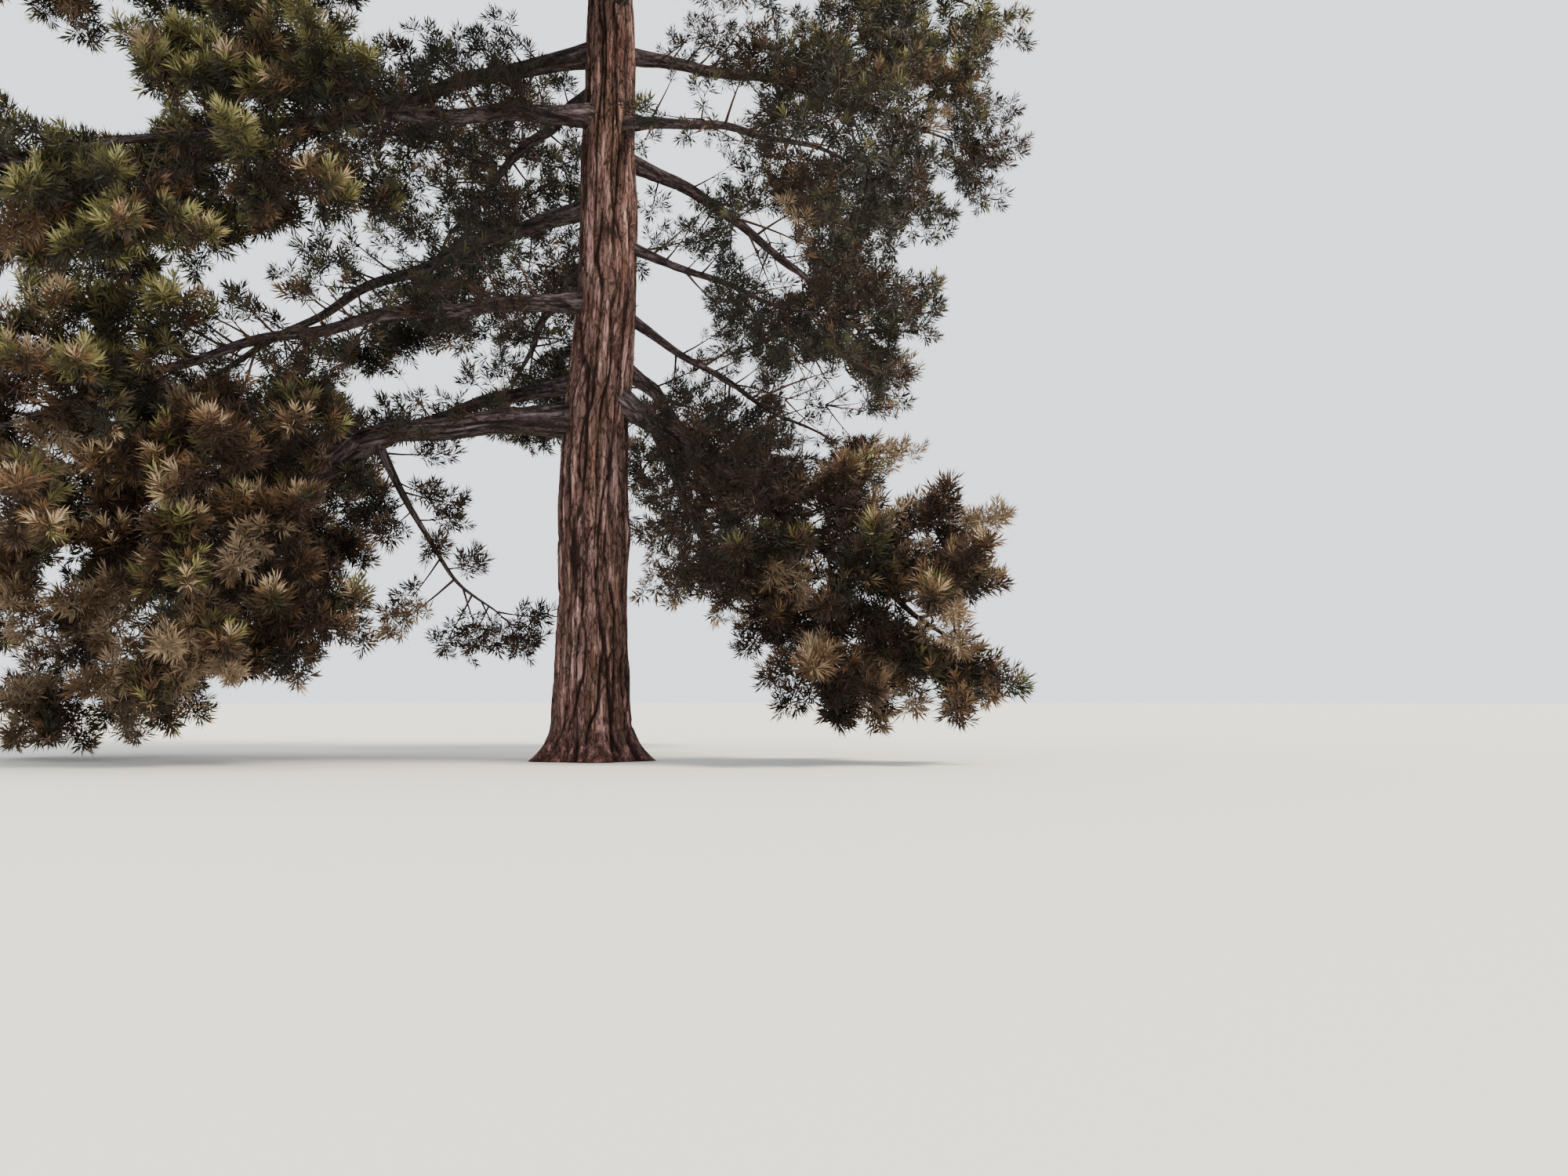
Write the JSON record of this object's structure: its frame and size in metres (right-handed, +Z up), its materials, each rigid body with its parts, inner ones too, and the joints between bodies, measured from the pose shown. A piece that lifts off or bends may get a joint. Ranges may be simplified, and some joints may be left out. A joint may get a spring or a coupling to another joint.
{
  "type": "pine tree",
  "caption": "Mature open-grown pine with one straight tapering trunk, flared roots, staggered boughs and hanging masses of long needles.",
  "frame": {"origin": "middle of the flat cut under the trunk, at ground level", "axes": "+Z up along the trunk, +X to the viewer's right, +Y away from the viewer"},
  "size_m": [19.2387, 17.2019, 25.0909],
  "materials": {
    "bark": "deeply furrowed rough bark, grey-brown with redder ridges and dark furrows",
    "needles": "matt long needles in tufts, dark olive with yellow-green and brown ends"
  },
  "bodies": {
    "root": {"trunk": "bark", "bough_left_first": "bark", "bough_left_second": "bark", "bough_left_third": "bark", "bough_left_fourth": "bark", "bough_left_fifth": "bark", "bough_left_sixth": "bark", "bough_left_seventh": "bark", "bough_right_first": "bark", "bough_right_second": "bark", "bough_right_third": "bark", "bough_right_fourth": "bark", "bough_right_fifth": "bark", "bough_back_first": "bark", "bough_back_second": "bark", "bough_back_third": "bark", "bough_back_fourth": "bark", "bough_front_first": "bark", "bough_front_second": "bark", "bough_left_drape": "bark", "bough_left_skirt": "bark", "bough_upper_1": "bark", "bough_upper_2": "bark", "bough_upper_3": "bark", "bough_upper_4": "bark", "bough_upper_5": "bark", "bough_upper_6": "bark", "bough_upper_7": "bark", "bough_upper_8": "bark", "bough_upper_9": "bark", "foliage_left_first": "needles", "foliage_left_second": "needles", "foliage_left_third": "needles", "foliage_left_fourth": "needles", "foliage_left_fifth": "needles", "foliage_left_sixth": "needles", "foliage_left_seventh": "needles", "foliage_right_first": "needles", "foliage_right_second": "needles", "foliage_right_third": "needles", "foliage_right_fourth": "needles", "foliage_right_fifth": "needles", "foliage_back_first": "needles", "foliage_back_second": "needles", "foliage_back_third": "needles", "foliage_back_fourth": "needles", "foliage_front_first": "needles", "foliage_front_second": "needles", "foliage_left_drape": "needles", "foliage_left_skirt": "needles", "foliage_upper_1": "needles", "foliage_upper_2": "needles", "foliage_upper_3": "needles", "foliage_upper_4": "needles", "foliage_upper_5": "needles", "foliage_upper_6": "needles", "foliage_upper_7": "needles", "foliage_upper_8": "needles", "foliage_upper_9": "needles", "foliage_top": "needles"}
  },
  "joints": []
}
